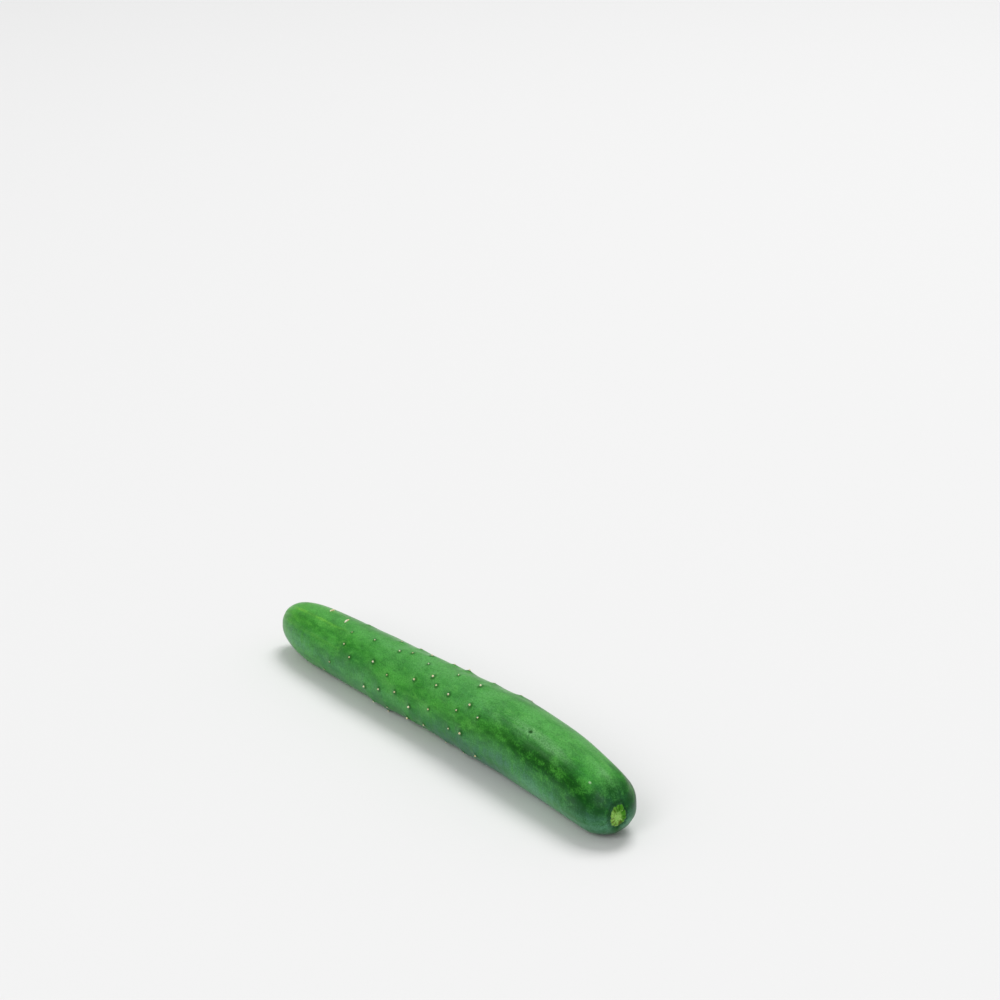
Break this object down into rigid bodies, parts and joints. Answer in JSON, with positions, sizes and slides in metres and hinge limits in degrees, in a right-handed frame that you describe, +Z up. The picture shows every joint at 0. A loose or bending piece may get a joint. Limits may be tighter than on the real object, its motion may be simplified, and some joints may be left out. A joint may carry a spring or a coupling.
{
  "type": "japanese cucumber",
  "caption": "Long, slender green cucumber with a slight sideways bend, small warts with short pale spines, a small oval stem scar and rounded ends, lying on its side.",
  "frame": {"origin": "on the surface that the fruit lies on, under the middle of its bounding box", "axes": "+X along the length towards the stem end, +Y to the side that the fruit's middle bows towards, +Z up"},
  "size_m": [0.2302, 0.0326, 0.0296],
  "materials": {
    "skin": "satin"
  },
  "bodies": {
    "root": {"cucumber": "skin"}
  },
  "joints": []
}
